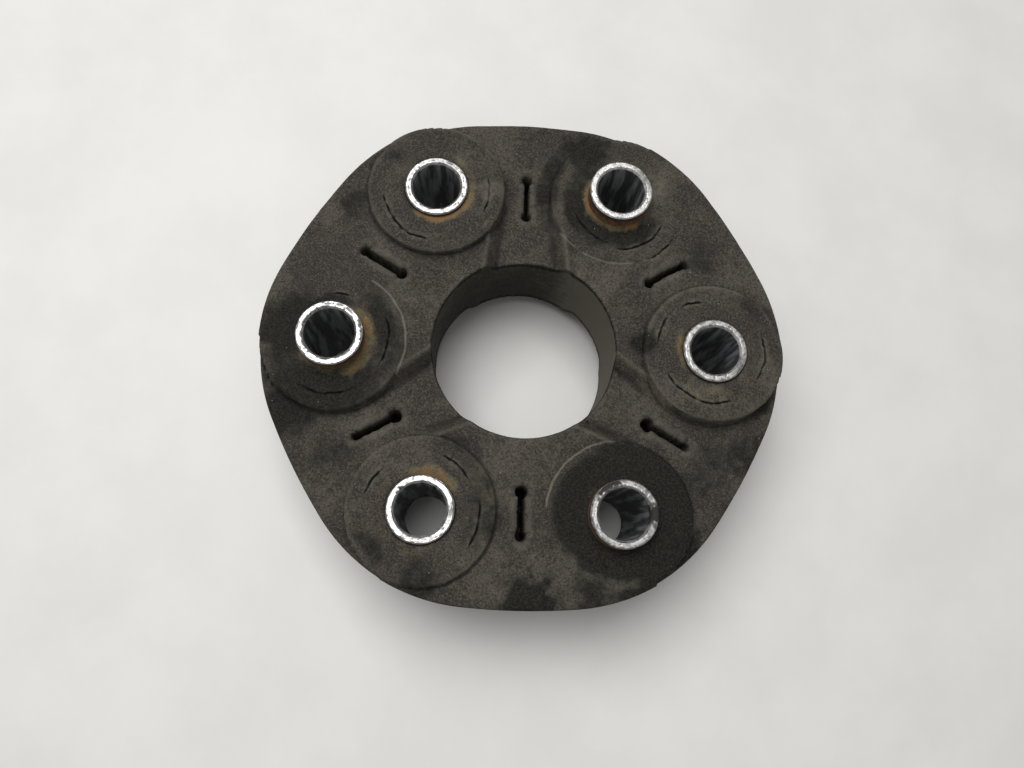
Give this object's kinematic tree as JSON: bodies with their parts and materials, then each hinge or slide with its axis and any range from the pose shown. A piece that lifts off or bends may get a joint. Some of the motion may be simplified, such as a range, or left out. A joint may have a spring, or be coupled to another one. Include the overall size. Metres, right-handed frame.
{
  "type": "flexible disc coupling",
  "caption": "Used rubber disc coupling with steel bolt sleeves on one bolt circle, a round centre hole and high and low webs between its pads.",
  "frame": {"origin": "middle of the bounding box at the resting plane, on the shaft axis, where three sleeve ends stand", "axes": "+Z along the shaft axis towards the face that shows; +X from the axis through bolt_sleeve_1"},
  "size_m": [0.108, 0.1044, 0.032],
  "materials": {
    "rubber": "aged matt moulded rubber, dusty, rubbed darker round three sleeves",
    "sleeve_steel": "bare turned steel, worn bright on the ends and rusty on the sides",
    "cord": "rubber-dipped polyester cord, wound and moulded in",
    "collar_steel": "plain pressed steel"
  },
  "bodies": {
    "root": {"rubber_body": "rubber", "bolt_sleeve_1": "sleeve_steel", "bolt_sleeve_2": "sleeve_steel", "bolt_sleeve_3": "sleeve_steel", "bolt_sleeve_4": "sleeve_steel", "bolt_sleeve_5": "sleeve_steel", "bolt_sleeve_6": "sleeve_steel", "thread_pack_1": "cord", "thread_pack_2": "cord", "thread_pack_3": "cord", "thread_pack_4": "cord", "thread_pack_5": "cord", "thread_pack_6": "cord", "top_collar_1": "collar_steel", "top_collar_2": "collar_steel", "top_collar_3": "collar_steel", "top_collar_4": "collar_steel", "top_collar_5": "collar_steel", "top_collar_6": "collar_steel", "bottom_collar_1": "collar_steel", "bottom_collar_2": "collar_steel", "bottom_collar_3": "collar_steel", "bottom_collar_4": "collar_steel", "bottom_collar_5": "collar_steel", "bottom_collar_6": "collar_steel"}
  },
  "joints": []
}
